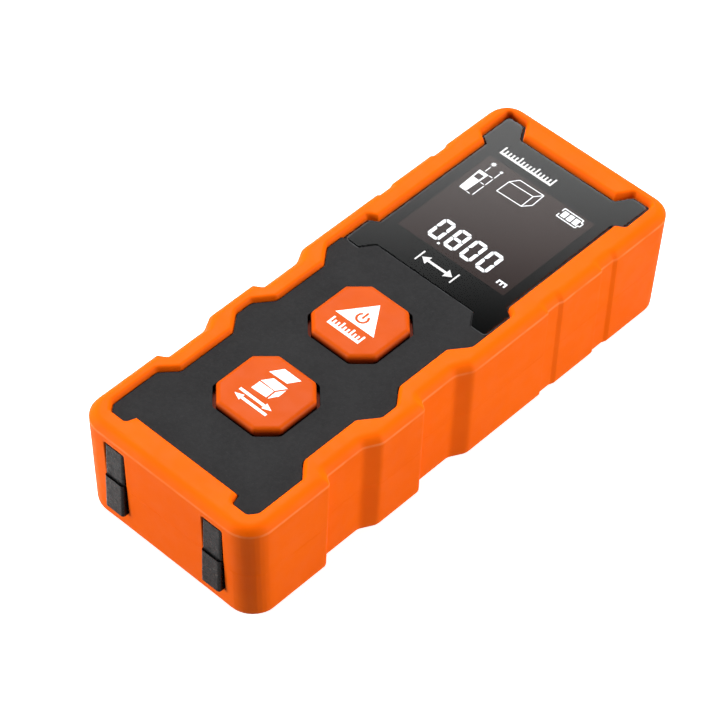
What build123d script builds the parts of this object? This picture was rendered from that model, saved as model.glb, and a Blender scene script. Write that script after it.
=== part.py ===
from build123d import *
import math
import os

# Pocket laser distance meter, lying on its back.
# Millimetres. +Y is the laser end, +Z comes out of the display, +X is to the right.
# The origin is the bottom centre of the outside box.

# ---- driving dimensions -------------------------------------------------------------------

HALF_WIDTH = 19.6          # outside of the rubber, wide zones
WAIST_DEPTH = 1.6          # how far the finger waists pull in on each side
FRONT_Y = 52.1             # front end of the rubber
PAD_Y = -52.1              # face of the hard rear reference pads
RUBBER_REAR_Y = -51.4      # rear end of the rubber, behind the pads
RIM_Z = 22.8               # top of the rubber rim
PLATE_Z = 21.8             # keypad plate and display window
PLATE_X = -0.25            # the plate stands a little to the left in the rubber
RUBBER_SPLIT_Z = 11.2      # where the two rubber overmoulds meet
CASE_SPLIT_Z = 12.1        # where the two hard casings meet

WALL = 1.4                 # casing wall
CASE_HALF_WIDTH = 17.3
CASE_REAR_Y = -49.2
CASE_FRONT_Y = 50.0
SHOULDER_TOP_Z = 20.6      # casing shoulder under the rubber rim
SHOULDER_BOTTOM_Z = 2.0
CEILING_Z = 19.4
BACK_PANEL_Z = 0.5         # hard back, set in from the rubber
FLOOR_Z = 2.0
SEAT_FLOOR_Z = 3.2

# Finger waists: start and end of the rear step, start and end of the front ramp.
STEP_R = 0.5
RAMP_R = 2.0
WAISTS = ((-33.8, -32.8, -24.5, -21.6), (-11.6, -10.6, -2.6, 0.3))
GRIP_NOTCHES = ((18.7, 22.6), (32.4, 36.5))
GRIP_NOTCH_DEPTH = 0.3
RUBBER_CORNER_R = (5.0, 4.5)   # rear, front
CASE_CORNER_R = (3.4, 3.0)
RIM_R = 1.3                # rounding along the top and the bottom of the rubber
FOOT_R = 1.5

PAD_X = 11.03
PAD_HALF_WIDTH = 2.08
PAD_Z = (4.6, 19.6)
UPPER_PAD_SETBACK = 0.3

BUTTON_HALF = 7.35
BUTTON_CORNER = 3.2        # cut across each corner
BUTTON_CORNER_R = 1.0
BUTTON_EDGE_R = 0.9
BUTTON_PROUD = 1.2
BUTTON_GAP = 0.4
BUTTON_X = -0.4            # both keys stand a little to the left
BUTTON_Y = {"measure": -5.65, "units": -27.8}
FLANGE_HALF = 8.4
FLANGE_Z = (19.2, 20.2)
PLUNGER_R = 2.6
PLUNGER_Z = 18.5

WINDOW_THICK = 0.4
WINDOW_GLUE = 0.1
LCD_TOP_Z = 21.25         # the glass stands in its opening, just under the window
LCD_THICK = 2.35
LCD_OPENING_X = 13.5
LCD_OPENING_Y = (13.6, 42.0)
LCD_GLASS_X = 13.2
LCD_GLASS_Y = (13.9, 41.7)
LCD_COVER_FRONT_Y = 39.9   # the upper glass stops here and leaves the contacts bare

BOARD_Z = (15.6, 16.6)
BOARD_SCREWS = ((11.0, -42.5), (11.0, -17.0))
BOARD_BOSS_R = 1.7
BOARD_PILOT_R = 0.7
CASE_SCREWS = ((11.9, 8.6), (11.9, 44.6))
CASE_BOSS_R = 2.0
CASE_PILOT_R = 0.85
CASE_BOSS_Z = 9.0          # upper boss meets the lower pillar here
CASE_HEAD_Z = 6.4          # screw heads sit this deep in their wells
PILLAR_R = 2.3
HEAD_WELL_R = 1.8

CELL_R = 5.25              # AAA cells
CELL_LENGTH = 44.5
NUB_R = 1.9
NUB_LENGTH = 0.9
SPRING_LENGTH = 2.4
CONTACT_THICK = 0.3
CELL_X = 5.6
CELL_Z = 7.95
BAY_HALF_WIDTH = 11.3
BAY_Y = (-47.8, 0.6)
BAY_TOP_Z = 13.5
BAY_WALL = 1.2

DOOR_HALF_WIDTH = 13.0
DOOR_Y = (-46.6, 4.0)
DOOR_Z = (BACK_PANEL_Z, 1.8)
DOOR_GAP = 0.2
DOOR_TAB_X = (6.0, 9.0)
DOOR_TAB_Z = 1.25

OPTIC_Z = 9.8
LASER_X = -6.4
RECEIVER_X = 4.3
BENCH_Y = (13.0, 42.0)
LASER_TUBE_R = 3.9
BARREL_R = 3.0
RECEIVER_TUBE_R = 5.7
LENS_R = 5.0
BENCH_EARS = ((-8.6, 15.4), (8.6, 15.4), (-12.8, 28.0))
EAR_Z = (4.8, 6.2)
EAR_R = 2.6
POST_R = 1.7

BEZEL_Z = 11.0
BEZEL_HALF = (14.1, 7.3)
BEZEL_CORNER = 2.2
BEZEL_GAP = 0.1
BEZEL_FACE_Y = 51.2
BEZEL_RECESS = 1.2         # depth of the pockets that hold the two front windows
EMITTER_WINDOW_R = 3.2
RECEIVER_WINDOW_R = 5.1

# ---- plain solids -------------------------------------------------------------------------


def block(x0, x1, y0, y1, z0, z1):
    """Block between two corners."""
    return Pos((x0 + x1) / 2, (y0 + y1) / 2, (z0 + z1) / 2) * Box(x1 - x0, y1 - y0, z1 - z0)


def rod_y(x, z, radius, y0, y1):
    """Round bar along Y."""
    return Pos(x, (y0 + y1) / 2, z) * Rot(90, 0, 0) * Cylinder(radius, y1 - y0)


def rod_z(x, y, radius, z0, z1):
    """Round bar along Z."""
    return Pos(x, y, (z0 + z1) / 2) * Cylinder(radius, z1 - z0)


def slab(face, z0, z1):
    """Plan outline thickened between two heights."""
    return Pos(0, 0, z0) * extrude(face, z1 - z0)


def mirrored(points):
    """Points at both sides of the middle, x then -x."""
    return [(side * x, y) for x, y in points for side in (-1, 1)]


def symmetric_face(right_side):
    """Face from corners (x, y, radius) down the right side, rear to front, and their mirror."""
    left_side = [(-x, y, r) for x, y, r in reversed(right_side)]
    corners = right_side + left_side
    wire = FilletPolyline(
        *[(x, y) for x, y, r in corners], radius=[r for x, y, r in corners], close=True
    )
    return make_face(wire)


def save(shape, node):
    """Writes one sub-part."""
    shape.label = node
    export_step(shape, f"parts/{node}.step")


# ---- outlines -----------------------------------------------------------------------------


def waisted_face(half_width, rear, front, rear_r, front_r):
    """Body outline with the two finger waists, whose rear steps are crisp and front ramps soft."""
    side = [(half_width, rear, rear_r)]
    for step_start, step_end, ramp_start, ramp_end in WAISTS:
        side.append((half_width, step_start, STEP_R))
        side.append((half_width - WAIST_DEPTH, step_end, STEP_R))
        side.append((half_width - WAIST_DEPTH, ramp_start, RAMP_R))
        side.append((half_width, ramp_end, RAMP_R))
    side.append((half_width, front, front_r))
    return symmetric_face(side)


def rubber_face():
    return waisted_face(HALF_WIDTH, RUBBER_REAR_Y, FRONT_Y, *RUBBER_CORNER_R)


def casing_face(inset=0.0):
    rear_r = CASE_CORNER_R[0] - inset / 2
    front_r = CASE_CORNER_R[1] - 1.2 * inset
    rear, front = CASE_REAR_Y + inset, CASE_FRONT_Y - inset
    return waisted_face(CASE_HALF_WIDTH - inset, rear, front, rear_r, front_r)


def rim_face():
    """Inner edge of the rubber rim: the outline of the keypad plate and the window's well."""
    return Pos(PLATE_X, 0, 0) * symmetric_face([
        (11.5, -45.8, 0.3), (12.1, -47.7, 0.5), (15.3, -47.7, 0.6), (16.25, -46.4, 0.8),
        (16.25, -36.6, 1.2), (13.65, -33.7, 1.2), (13.65, -21.7, 1.2), (16.25, -18.3, 1.2),
        (16.25, -14.8, 1.2), (13.65, -11.4, 1.2), (13.65, -0.05, 1.2), (16.25, 3.4, 1.2),
        (16.25, 13.2, 0.4), (14.6, 14.2, 0.4), (14.6, 41.4, 0.4), (16.25, 42.4, 0.4),
        (16.25, 49.45, 0.8), (12.35, 49.45, 0.6), (10.5, 46.5, 0.5),
    ])


def window_face():
    """Display window: a square pane with an ear at each corner."""
    return Pos(PLATE_X, 0, 0) * symmetric_face([
        (11.0, 9.85, 0.4), (12.8, 7.25, 0.6), (15.9, 7.25, 0.8), (15.9, 13.45, 0.3),
        (14.25, 14.35, 0.3), (14.25, 41.25, 0.3), (15.9, 42.25, 0.3), (15.9, 49.1, 0.8),
        (12.5, 49.1, 0.6), (10.65, 46.15, 0.4),
    ])


def window_well_face():
    """Everything above the window's seat, cut clear out to the rubber."""
    corners = [(10.9, 9.6, 0.2), (12.7, 6.95, 0.5), (17.0, 6.95, 0.1), (17.0, 50.6, 0.1)]
    return Pos(PLATE_X, 0, 0) * symmetric_face(corners)


def back_panel_face():
    return symmetric_face([(14.0, -47.3, 3.0), (14.0, 47.0, 3.0)])


def door_face(gap=0.0):
    x = DOOR_HALF_WIDTH + gap
    return symmetric_face([(x, DOOR_Y[0] - gap, 2.4 + gap), (x, DOOR_Y[1] + gap, 0.8)])


def key_face(half, corner):
    """Square key top with cut corners."""
    flat = half - corner
    r = BUTTON_CORNER_R
    return symmetric_face([(flat, -half, r), (half, -flat, r), (half, flat, r), (flat, half, r)])


# ---- shared cutters -----------------------------------------------------------------------


def pads(z0, z1, setback):
    """The two hard pads that stand out of the rear rubber."""
    y_face = PAD_Y + setback
    body = None
    for x in (-PAD_X, PAD_X):
        pad = block(x - PAD_HALF_WIDTH, x + PAD_HALF_WIDTH, y_face, CASE_REAR_Y + 0.6, z0, z1)
        edges = pad.edges().filter_by(Axis.Z).sort_by(Axis.Y)[:2]
        pad = fillet(edges, 0.5)
        body = pad if body is None else body + pad
    return body


def pad_slots():
    """Slots that the pads pass through in the rubber."""
    slots = None
    for x in (-PAD_X, PAD_X):
        slot = block(x - PAD_HALF_WIDTH, x + PAD_HALF_WIDTH, PAD_Y - 1, CASE_REAR_Y + 0.6, *PAD_Z)
        slots = slot if slots is None else slots + slot
    return slots


def end_plate(half_x, half_z, corner, y0, y1):
    """Rounded plate that faces along Y."""
    plate = extrude(RectangleRounded(2 * half_x, 2 * half_z, corner), y1 - y0)
    return Pos(0, y1, BEZEL_Z) * Rot(90, 0, 0) * plate


def bezel_opening():
    half_x, half_z = BEZEL_HALF
    return end_plate(half_x + BEZEL_GAP, half_z + BEZEL_GAP, BEZEL_CORNER + BEZEL_GAP, 48.0, 53.0)


def outer_edges(solid, z):
    """Edges at height z that run round the outside of the rubber."""
    face = solid.faces().filter_by(Plane.XY).sort_by(lambda f: abs(f.center().Z - z))[0]
    return face.outer_wire().edges()


def notch_side(solid):
    """Two shallow grip notches on each side of the rubber."""
    for y0, y1 in GRIP_NOTCHES:
        for side in (-1, 1):
            x0, x1 = sorted((side * (HALF_WIDTH - GRIP_NOTCH_DEPTH), side * (HALF_WIDTH + 1)))
            solid = solid - block(x0, x1, y0, y1, -1, RIM_Z + 1)
    return solid


# ---- rubber overmoulds --------------------------------------------------------------------


def upper_bumper():
    body = slab(rubber_face(), RUBBER_SPLIT_Z, RIM_Z)
    body = fillet(outer_edges(body, RIM_Z), RIM_R)
    body = notch_side(body)
    body = body - slab(casing_face(), RUBBER_SPLIT_Z - 1, SHOULDER_TOP_Z)
    body = body - slab(rim_face(), SHOULDER_TOP_Z - 0.5, RIM_Z + 1)
    return body - pad_slots() - bezel_opening()


def lower_bumper():
    body = slab(rubber_face(), 0, RUBBER_SPLIT_Z)
    body = fillet(outer_edges(body, 0), FOOT_R)
    body = notch_side(body)
    body = body - slab(casing_face(), SHOULDER_BOTTOM_Z, RUBBER_SPLIT_Z + 1)
    body = body - slab(back_panel_face(), -1, SHOULDER_BOTTOM_Z + 0.5)
    return body - pad_slots() - bezel_opening()


# ---- hard casings -------------------------------------------------------------------------


def upper_casing():
    body = slab(casing_face(), CASE_SPLIT_Z, SHOULDER_TOP_Z) + slab(rim_face(), SHOULDER_TOP_Z, PLATE_Z)
    body = body + pads(CASE_SPLIT_Z, PAD_Z[1], UPPER_PAD_SETBACK)
    body = body - slab(casing_face(WALL), CASE_SPLIT_Z - 1, CEILING_Z)
    # Window seat, and the opening that the display glass stands in.
    seat_z = PLATE_Z - WINDOW_THICK - WINDOW_GLUE
    body = body - slab(window_well_face(), seat_z, PLATE_Z + 1)
    body = body - block(-LCD_OPENING_X, LCD_OPENING_X, *LCD_OPENING_Y, CEILING_Z - 1, PLATE_Z + 1)
    # Button wells: a pocket for the flange and a cut-cornered hole for the cap.
    for y in BUTTON_Y.values():
        pocket = block(-9.2, 9.2, -9.0, 9.0, CEILING_Z - 1, FLANGE_Z[1] + 0.1)
        hole = key_face(BUTTON_HALF + BUTTON_GAP, BUTTON_CORNER)
        body = body - Pos(BUTTON_X, y, 0) * (pocket + slab(hole, CEILING_Z - 1, PLATE_Z + 1))
    # Screw bosses hang from the ceiling.
    for x, y in mirrored(CASE_SCREWS):
        body = body + rod_z(x, y, CASE_BOSS_R, CASE_BOSS_Z, CEILING_Z + 0.3)
        body = body - rod_z(x, y, CASE_PILOT_R, CASE_BOSS_Z - 1, BOARD_Z[1] + 0.4)
    for x, y in mirrored(BOARD_SCREWS):
        body = body + rod_z(x, y, BOARD_BOSS_R, BOARD_Z[1], CEILING_Z + 0.3)
        body = body - rod_z(x, y, BOARD_PILOT_R, BOARD_Z[1] - 1, CEILING_Z - 0.5)
    return body - bezel_opening()


def lower_casing():
    body = slab(casing_face(), SHOULDER_BOTTOM_Z, CASE_SPLIT_Z)
    body = body + slab(back_panel_face(), BACK_PANEL_Z, SHOULDER_BOTTOM_Z)
    body = body + pads(PAD_Z[0], CASE_SPLIT_Z, 0.0)
    body = body - slab(casing_face(WALL), SEAT_FLOOR_Z, CASE_SPLIT_Z + 1)
    body = body - block(-12.6, 12.6, 6.6, 46.6, FLOOR_Z, SEAT_FLOOR_Z + 1)
    # Battery bay: walls and roof, open below.
    bay_wall_x = BAY_HALF_WIDTH + BAY_WALL
    body = body + block(-bay_wall_x, bay_wall_x, BAY_Y[0], BAY_Y[1] + BAY_WALL, FLOOR_Z, BAY_TOP_Z + 1)
    body = body - block(-BAY_HALF_WIDTH, BAY_HALF_WIDTH, *BAY_Y, FLOOR_Z, BAY_TOP_Z)
    body = body - slab(door_face(DOOR_GAP), -1, FLOOR_Z)
    # Pockets that the door's two hooks reach into.
    for side in (-1, 1):
        x0, x1 = sorted((side * (DOOR_TAB_X[0] - 0.3), side * (DOOR_TAB_X[1] + 0.3)))
        body = body - block(x0, x1, 2.6, DOOR_Y[1] + 2.4, 1.1, 4.0)
    # The way down out of the bay, which leaves a lip behind it for the door's latch.
    body = body - block(-BAY_HALF_WIDTH, BAY_HALF_WIDTH, DOOR_Y[0] - DOOR_GAP, BAY_Y[1], 1.0, FLOOR_Z + 1)
    # Contact tabs leave through the roof.
    for x in (-CELL_X, CELL_X):
        body = body - block(x - 1.4, x + 1.4, BAY_Y[1] - 0.9, BAY_Y[1], BAY_TOP_Z - 0.5, BAY_TOP_Z + 2)
    # Screw pillars with deep head wells.
    for x, y in mirrored(CASE_SCREWS):
        body = body + rod_z(x, y, PILLAR_R, FLOOR_Z, CASE_BOSS_Z)
        body = body - rod_z(x, y, HEAD_WELL_R, -1, CASE_HEAD_Z)
        body = body - rod_z(x, y, 1.1, CASE_HEAD_Z - 1, CASE_BOSS_Z + 1)
    for x, y in BENCH_EARS:
        body = body + rod_z(x, y, POST_R, FLOOR_Z, EAR_Z[0])
        body = body - rod_z(x, y, 0.65, FLOOR_Z, EAR_Z[0] + 1)
    # Plain sunk field on the hard back, where a label would go.
    field = symmetric_face([(9.6, 9.0, 1.5), (9.6, 44.0, 1.5)])
    body = body - slab(field, BACK_PANEL_Z - 1, BACK_PANEL_Z + 0.2)
    return body - bezel_opening() - gasket_ring()


def gasket_ring():
    """Square seal cord in a groove along the top of the lower wall."""
    ring = slab(casing_face(0.35), CASE_SPLIT_Z - 0.5, CASE_SPLIT_Z)
    ring = ring - slab(casing_face(1.05), CASE_SPLIT_Z - 1, CASE_SPLIT_Z + 1)
    return ring - bezel_opening()


# ---- display ------------------------------------------------------------------------------


def display_window():
    pane = slab(window_face(), PLATE_Z - WINDOW_THICK, PLATE_Z)
    top = pane.faces().sort_by(Axis.Z)[-1]
    return chamfer(top.edges(), 0.12)


def window_adhesive():
    top_z = PLATE_Z - WINDOW_THICK
    pad = slab(window_face(), top_z - WINDOW_GLUE, top_z)
    return pad - block(-LCD_OPENING_X, LCD_OPENING_X, *LCD_OPENING_Y, top_z - 1, top_z + 1)


def lcd_panel():
    """Two glasses, the lower one with a ledge for its contacts."""
    x, rear_y = LCD_GLASS_X, LCD_GLASS_Y[0]
    middle_z = LCD_TOP_Z - LCD_THICK / 2
    upper_glass = block(-x, x, rear_y, LCD_COVER_FRONT_Y, middle_z, LCD_TOP_Z)
    return upper_glass + block(-x, x, *LCD_GLASS_Y, LCD_TOP_Z - LCD_THICK, middle_z)


def lcd_holder():
    """Moulded tray that stands on the board and carries the glass and the light panel."""
    glass_z = LCD_TOP_Z - LCD_THICK
    body = block(-14.3, 14.3, 12.6, 42.1, BOARD_Z[1], CEILING_Z - 0.1)
    body = body - block(-13.25, 13.25, 13.85, 41.75, glass_z, CEILING_Z + 1)
    body = body - block(-12.95, 12.95, 14.95, 39.65, BOARD_Z[1] + 0.5, glass_z + 1)
    return body - block(-12.1, 12.1, 40.0, 41.4, BOARD_Z[1] - 1, glass_z + 1)


def lcd_backlight():
    return block(-12.9, 12.9, 15.0, 39.6, 17.8, 18.8)


def zebra_strip():
    return block(-12.0, 12.0, 40.1, 41.3, BOARD_Z[1], LCD_TOP_Z - LCD_THICK)


# ---- keys ---------------------------------------------------------------------------------


def button(y):
    """Key cap with a retaining flange and a plunger on its underside."""
    cap = slab(key_face(BUTTON_HALF, BUTTON_CORNER), FLANGE_Z[0], PLATE_Z + BUTTON_PROUD)
    top = cap.faces().sort_by(Axis.Z)[-1]
    cap = fillet(top.edges(), BUTTON_EDGE_R)
    cap = cap + slab(key_face(FLANGE_HALF, BUTTON_CORNER), *FLANGE_Z)
    cap = cap + rod_z(0, 0, PLUNGER_R, PLUNGER_Z, FLANGE_Z[0] + 0.5)
    return Pos(BUTTON_X, y, 0) * cap


def dome(y):
    """Hollow silicone dome under a key."""
    base_z = BOARD_Z[1]
    top_z = PLUNGER_Z - 0.05
    shell = Pos(BUTTON_X, y, (base_z + top_z) / 2) * Cone(3.9, 2.5, top_z - base_z)
    hollow_top = top_z - 0.5
    hollow = Pos(BUTTON_X, y, (base_z + hollow_top) / 2) * Cone(3.3, 2.0, hollow_top - base_z)
    return shell - hollow


def keypad_sheet():
    """Silicone sheet round the domes, which keeps dust off the board."""
    sheet = block(-9.1, 9.1, -38.0, 3.2, BOARD_Z[1], BOARD_Z[1] + 0.6)
    for y in BUTTON_Y.values():
        sheet = sheet - rod_z(BUTTON_X, y, 4.1, BOARD_Z[1] - 1, BOARD_Z[1] + 2)
    return sheet


# ---- electronics --------------------------------------------------------------------------


def main_board():
    board = symmetric_face([(12.9, -46.2, 1.0), (12.9, 1.4, 0.5), (14.9, 3.2, 0.5), (14.9, 46.9, 1.0)])
    body = slab(board, *BOARD_Z)
    for x, y in mirrored(CASE_SCREWS):
        x0, x1 = sorted((x, math.copysign(16, x)))
        body = body - rod_z(x, y, 2.4, BOARD_Z[0] - 1, BOARD_Z[1] + 1)
        body = body - block(x0, x1, y - 2.4, y + 2.4, BOARD_Z[0] - 1, BOARD_Z[1] + 1)
    for x, y in mirrored(BOARD_SCREWS):
        body = body - rod_z(x, y, 0.9, BOARD_Z[0] - 1, BOARD_Z[1] + 1)
    return body


def processor_chip():
    """Flat-pack processor on the underside of the board, with its rows of leads."""
    z1 = BOARD_Z[0]
    body = block(1.8, 8.8, 3.6, 10.6, z1 - 1.3, z1 - 0.1)
    for i in range(12):
        offset = 0.55 * (i - 5.5)
        body = body + block(1.0, 9.6, 7.1 + offset - 0.12, 7.1 + offset + 0.12, z1 - 0.5, z1)
        body = body + block(5.3 + offset - 0.12, 5.3 + offset + 0.12, 2.8, 11.4, z1 - 0.5, z1)
    return body


def shield_can():
    """Tinned cover over the timing circuit."""
    z1 = BOARD_Z[0]
    return block(-9.2, -1.2, 3.2, 11.6, z1 - 1.8, z1) - block(-9.0, -1.4, 3.4, 11.4, z1 - 1.6, z1 + 1)


def small_components():
    """Row of resistors and capacitors along the front edge of the board."""
    parts = []
    for i in range(9):
        x = -8.0 + 2.0 * i
        parts.append(block(x - 0.4, x + 0.4, 44.4, 46.0, BOARD_Z[1], BOARD_Z[1] + 0.6))
    return Compound(children=parts)


def sensor_connector():
    z1 = BOARD_Z[0]
    return block(-4.5, 4.5, 14.6, 17.2, z1 - 1.6, z1)


def buzzer():
    """Sounder can with its sound hole."""
    body = rod_z(0, -42.0, 3.9, BOARD_Z[1], BOARD_Z[1] + 1.8)
    return body - rod_z(0, -42.0, 0.8, BOARD_Z[1] + 1.0, BOARD_Z[1] + 3)


# ---- optics -------------------------------------------------------------------------------


def optical_bench():
    """Die-cast bench: a tube for the laser, a tube for the receiver and a rear wall."""
    body = block(-10.3, 10.3, *BENCH_Y, FLOOR_Z, 3.3)
    for x, y in BENCH_EARS:
        foot_z = FLOOR_Z if abs(x) < 10.3 else SEAT_FLOOR_Z
        body = body + rod_z(x, y, EAR_R, foot_z, EAR_Z[1])
    arm_x, arm_y = BENCH_EARS[2]
    body = body + block(arm_x, -9.0, arm_y - 2.0, arm_y + 2.0, SEAT_FLOOR_Z, EAR_Z[1])
    body = body + block(-10.3, 10.3, 20.6, 22.0, 3.0, 14.9)
    body = body + rod_y(LASER_X, OPTIC_Z, LASER_TUBE_R, 21.5, BENCH_Y[1])
    body = body + block(LASER_X - 2, LASER_X + 2, 21.5, BENCH_Y[1], 3.0, 6.0)
    body = body + rod_y(RECEIVER_X, OPTIC_Z, RECEIVER_TUBE_R, 21.5, BENCH_Y[1])
    body = body + block(RECEIVER_X - 3, RECEIVER_X + 3, 21.5, BENCH_Y[1], 3.0, 4.5)
    # Bores for the laser barrel, the photodiode, the light path and the receiver lens.
    body = body - rod_y(LASER_X, OPTIC_Z, BARREL_R + 0.05, 20.0, BENCH_Y[1] + 1)
    body = body - rod_y(RECEIVER_X, OPTIC_Z, 2.4, 20.0, 25.0)
    body = body - rod_y(RECEIVER_X, OPTIC_Z, LENS_R - 0.6, 24.0, 36.5)
    body = body - rod_y(RECEIVER_X, OPTIC_Z, LENS_R + 0.05, 36.4, BENCH_Y[1] + 1)
    # The ears sit on the casing's posts and are drilled for their screws.
    for x, y in BENCH_EARS:
        body = body - rod_z(x, y, POST_R + 0.05, FLOOR_Z - 1, EAR_Z[0])
        body = body - rod_z(x, y, 0.85, FLOOR_Z - 1, EAR_Z[1] + 1)
    return body


def laser_barrel():
    body = rod_y(LASER_X, OPTIC_Z, BARREL_R, 24.2, 43.6)
    body = body - rod_y(LASER_X, OPTIC_Z, 2.45, 24.0, 42.8)
    return body - rod_y(LASER_X, OPTIC_Z, 1.6, 42.0, 44.0)


def laser_diode():
    """Round can on a flange, with three pins."""
    body = rod_y(LASER_X, OPTIC_Z, 2.8, 22.8, 24.0) + rod_y(LASER_X, OPTIC_Z, 1.9, 24.0, 26.6)
    for dx, dz in ((-1.0, 0.0), (1.0, 0.0), (0.0, -1.0)):
        body = body + rod_y(LASER_X + dx, OPTIC_Z + dz, 0.23, 19.1, 23.0)
    return body


def laser_board():
    return block(-10.0, -2.9, 18.3, 19.1, 4.4, 13.6)


def lens(radius, edge_y, edge_thick, crown):
    """Lens with a crowned front, turned about Y."""
    shoulder_y = edge_y + edge_thick
    sphere_r = (radius**2 + crown**2) / (2 * crown)
    half = radius / 2
    half_y = shoulder_y + crown - sphere_r + math.sqrt(sphere_r**2 - half**2)
    sides = Polyline((0, shoulder_y + crown), (0, edge_y), (radius, edge_y), (radius, shoulder_y))
    crown_arc = ThreePointArc((radius, shoulder_y), (half, half_y), (0, shoulder_y + crown))
    return revolve(make_face([sides, crown_arc]), Axis.Y)


def collimating_lens():
    return Pos(LASER_X, 0, OPTIC_Z) * lens(2.4, 40.2, 1.2, 0.6)


def receiver_lens():
    return Pos(RECEIVER_X, 0, OPTIC_Z) * lens(LENS_R, 36.6, 1.6, 1.5)


def lens_ring():
    """Threaded ring that holds the receiver lens."""
    ring = rod_y(RECEIVER_X, OPTIC_Z, LENS_R, 39.9, 41.5)
    return ring - rod_y(RECEIVER_X, OPTIC_Z, 4.3, 39.0, 43.0)


def photodiode():
    body = rod_y(RECEIVER_X, OPTIC_Z, 2.3, 19.9, 22.9)
    return body - rod_y(RECEIVER_X, OPTIC_Z, 1.2, 22.5, 24.0)


def receiver_board():
    return block(-1.8, 10.2, 19.1, 19.9, 3.8, 14.8)


def front_bezel():
    body = end_plate(BEZEL_HALF[0], BEZEL_HALF[1], BEZEL_CORNER, 48.5, BEZEL_FACE_Y)
    rim = body.faces().sort_by(Axis.Y)[-1]
    body = chamfer(rim.edges(), 0.3)
    body = body + end_plate(14.5, 7.6, BEZEL_CORNER, 47.2, 48.6)
    for x, window_r in ((LASER_X, EMITTER_WINDOW_R), (RECEIVER_X, RECEIVER_WINDOW_R)):
        body = body - rod_y(x, OPTIC_Z, window_r - 0.55, 46.0, 53.0)
        body = body - rod_y(x, OPTIC_Z, window_r + 0.1, BEZEL_FACE_Y - BEZEL_RECESS, 53.0)
    return body


def front_window(x, radius):
    pane = rod_y(x, OPTIC_Z, radius, BEZEL_FACE_Y - BEZEL_RECESS, BEZEL_FACE_Y - 0.3)
    return chamfer(pane.edges().filter_by(GeomType.CIRCLE).sort_by(Axis.Y)[-1], 0.12)


# ---- battery bay --------------------------------------------------------------------------


def cell(x, rear_y, nub_at_front):
    """AAA cell with its contact nub at one end."""
    front_y = rear_y + CELL_LENGTH
    if nub_at_front:
        can = rod_y(x, CELL_Z, CELL_R, rear_y, front_y - NUB_LENGTH)
        return can + rod_y(x, CELL_Z, NUB_R, front_y - NUB_LENGTH - 0.2, front_y)
    can = rod_y(x, CELL_Z, CELL_R, rear_y + NUB_LENGTH, front_y)
    return can + rod_y(x, CELL_Z, NUB_R, rear_y, rear_y + NUB_LENGTH + 0.2)


def coil_spring(x, wall_y, tip_y):
    """Outer shape of a tapered contact spring, wide end on the plate."""
    length = abs(tip_y - wall_y)
    turn = -90 if tip_y > wall_y else 90
    sleeve = Cone(3.6, 2.4, length) - Cone(2.9, 1.7, length)
    return Pos(x, (wall_y + tip_y) / 2, CELL_Z) * Rot(turn, 0, 0) * sleeve


def link_plate():
    """Rear contact that joins the two cells, with a dimple for the nub."""
    y0 = BAY_Y[0]
    body = block(-9.6, 9.6, y0, y0 + CONTACT_THICK, 4.8, 12.4)
    return body + rod_y(CELL_X, CELL_Z, 2.2, y0 + 0.2, y0 + 1.2)


def positive_contact():
    y1 = BAY_Y[1]
    body = block(-9.6, -1.6, y1 - CONTACT_THICK, y1, 3.8, 12.4)
    body = body + block(-CELL_X - 1.1, -CELL_X + 1.1, y1 - CONTACT_THICK, y1, 12.0, BOARD_Z[0])
    return body + rod_y(-CELL_X, CELL_Z, 2.2, y1 - 1.2, y1 - 0.2)


def negative_contact():
    y1 = BAY_Y[1]
    body = block(1.6, 9.6, y1 - CONTACT_THICK, y1, 3.8, 12.4)
    return body + block(CELL_X - 1.1, CELL_X + 1.1, y1 - CONTACT_THICK, y1, 12.0, BOARD_Z[0])


def battery_door():
    """Flat cover with two hooks at its front edge and a latch finger at its rear edge."""
    body = slab(door_face(), *DOOR_Z)
    for side in (-1, 1):
        x0, x1 = sorted((side * DOOR_TAB_X[0], side * DOOR_TAB_X[1]))
        body = body + block(x0, x1, DOOR_Y[1] - 0.5, DOOR_Y[1] + 1.8, DOOR_TAB_Z, DOOR_Z[1])
    # Slits free the latch finger, and ribs give the thumb a grip.
    for side in (-1, 1):
        x0, x1 = sorted((side * 4.0, side * 4.6))
        body = body - block(x0, x1, DOOR_Y[0] - 1, DOOR_Y[0] + 8.0, -1, 3)
    body = body + block(-3.0, 3.0, DOOR_Y[0] + 0.1, DOOR_Y[0] + 0.7, DOOR_Z[1] - 0.1, 3.6)
    body = body - block(-3.2, 3.2, DOOR_Y[0] + 1.6, DOOR_Y[0] + 6.6, -1, DOOR_Z[0] + 0.5)
    for i in range(4):
        y = DOOR_Y[0] + 2.3 + 1.2 * i
        body = body + block(-3.2, 3.2, y - 0.25, y + 0.25, DOOR_Z[0] + 0.1, DOOR_Z[0] + 0.6)
    return body


def door_pad():
    """Foam strip that steadies the cells."""
    return block(-9.5, 9.5, -30.0, -16.0, DOOR_Z[1], 2.4)


# ---- fasteners ----------------------------------------------------------------------------


def screw(x, y, head_z, head_r, head_thick, shank_r, length, up):
    """Pan-head screw with a cross recess. up says which way the shank points."""
    way = 1 if up else -1
    z_low, z_high = sorted((head_z, head_z - way * head_thick))
    body = rod_z(x, y, head_r, z_low, z_high)
    s_low, s_high = sorted((head_z, head_z + way * length))
    body = body + rod_z(x, y, shank_r, s_low, s_high)
    recess_z = head_z - way * head_thick
    low, high = sorted((recess_z - way * 0.1, recess_z + way * 0.5))
    arm = head_r * 0.6
    body = body - block(x - arm, x + arm, y - 0.17, y + 0.17, low, high)
    return body - block(x - 0.17, x + 0.17, y - arm, y + arm, low, high)


def case_screws():
    return Compound(children=[
        screw(x, y, CASE_HEAD_Z, 1.6, 1.3, 0.8, 9.6, True) for x, y in mirrored(CASE_SCREWS)
    ])


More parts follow.
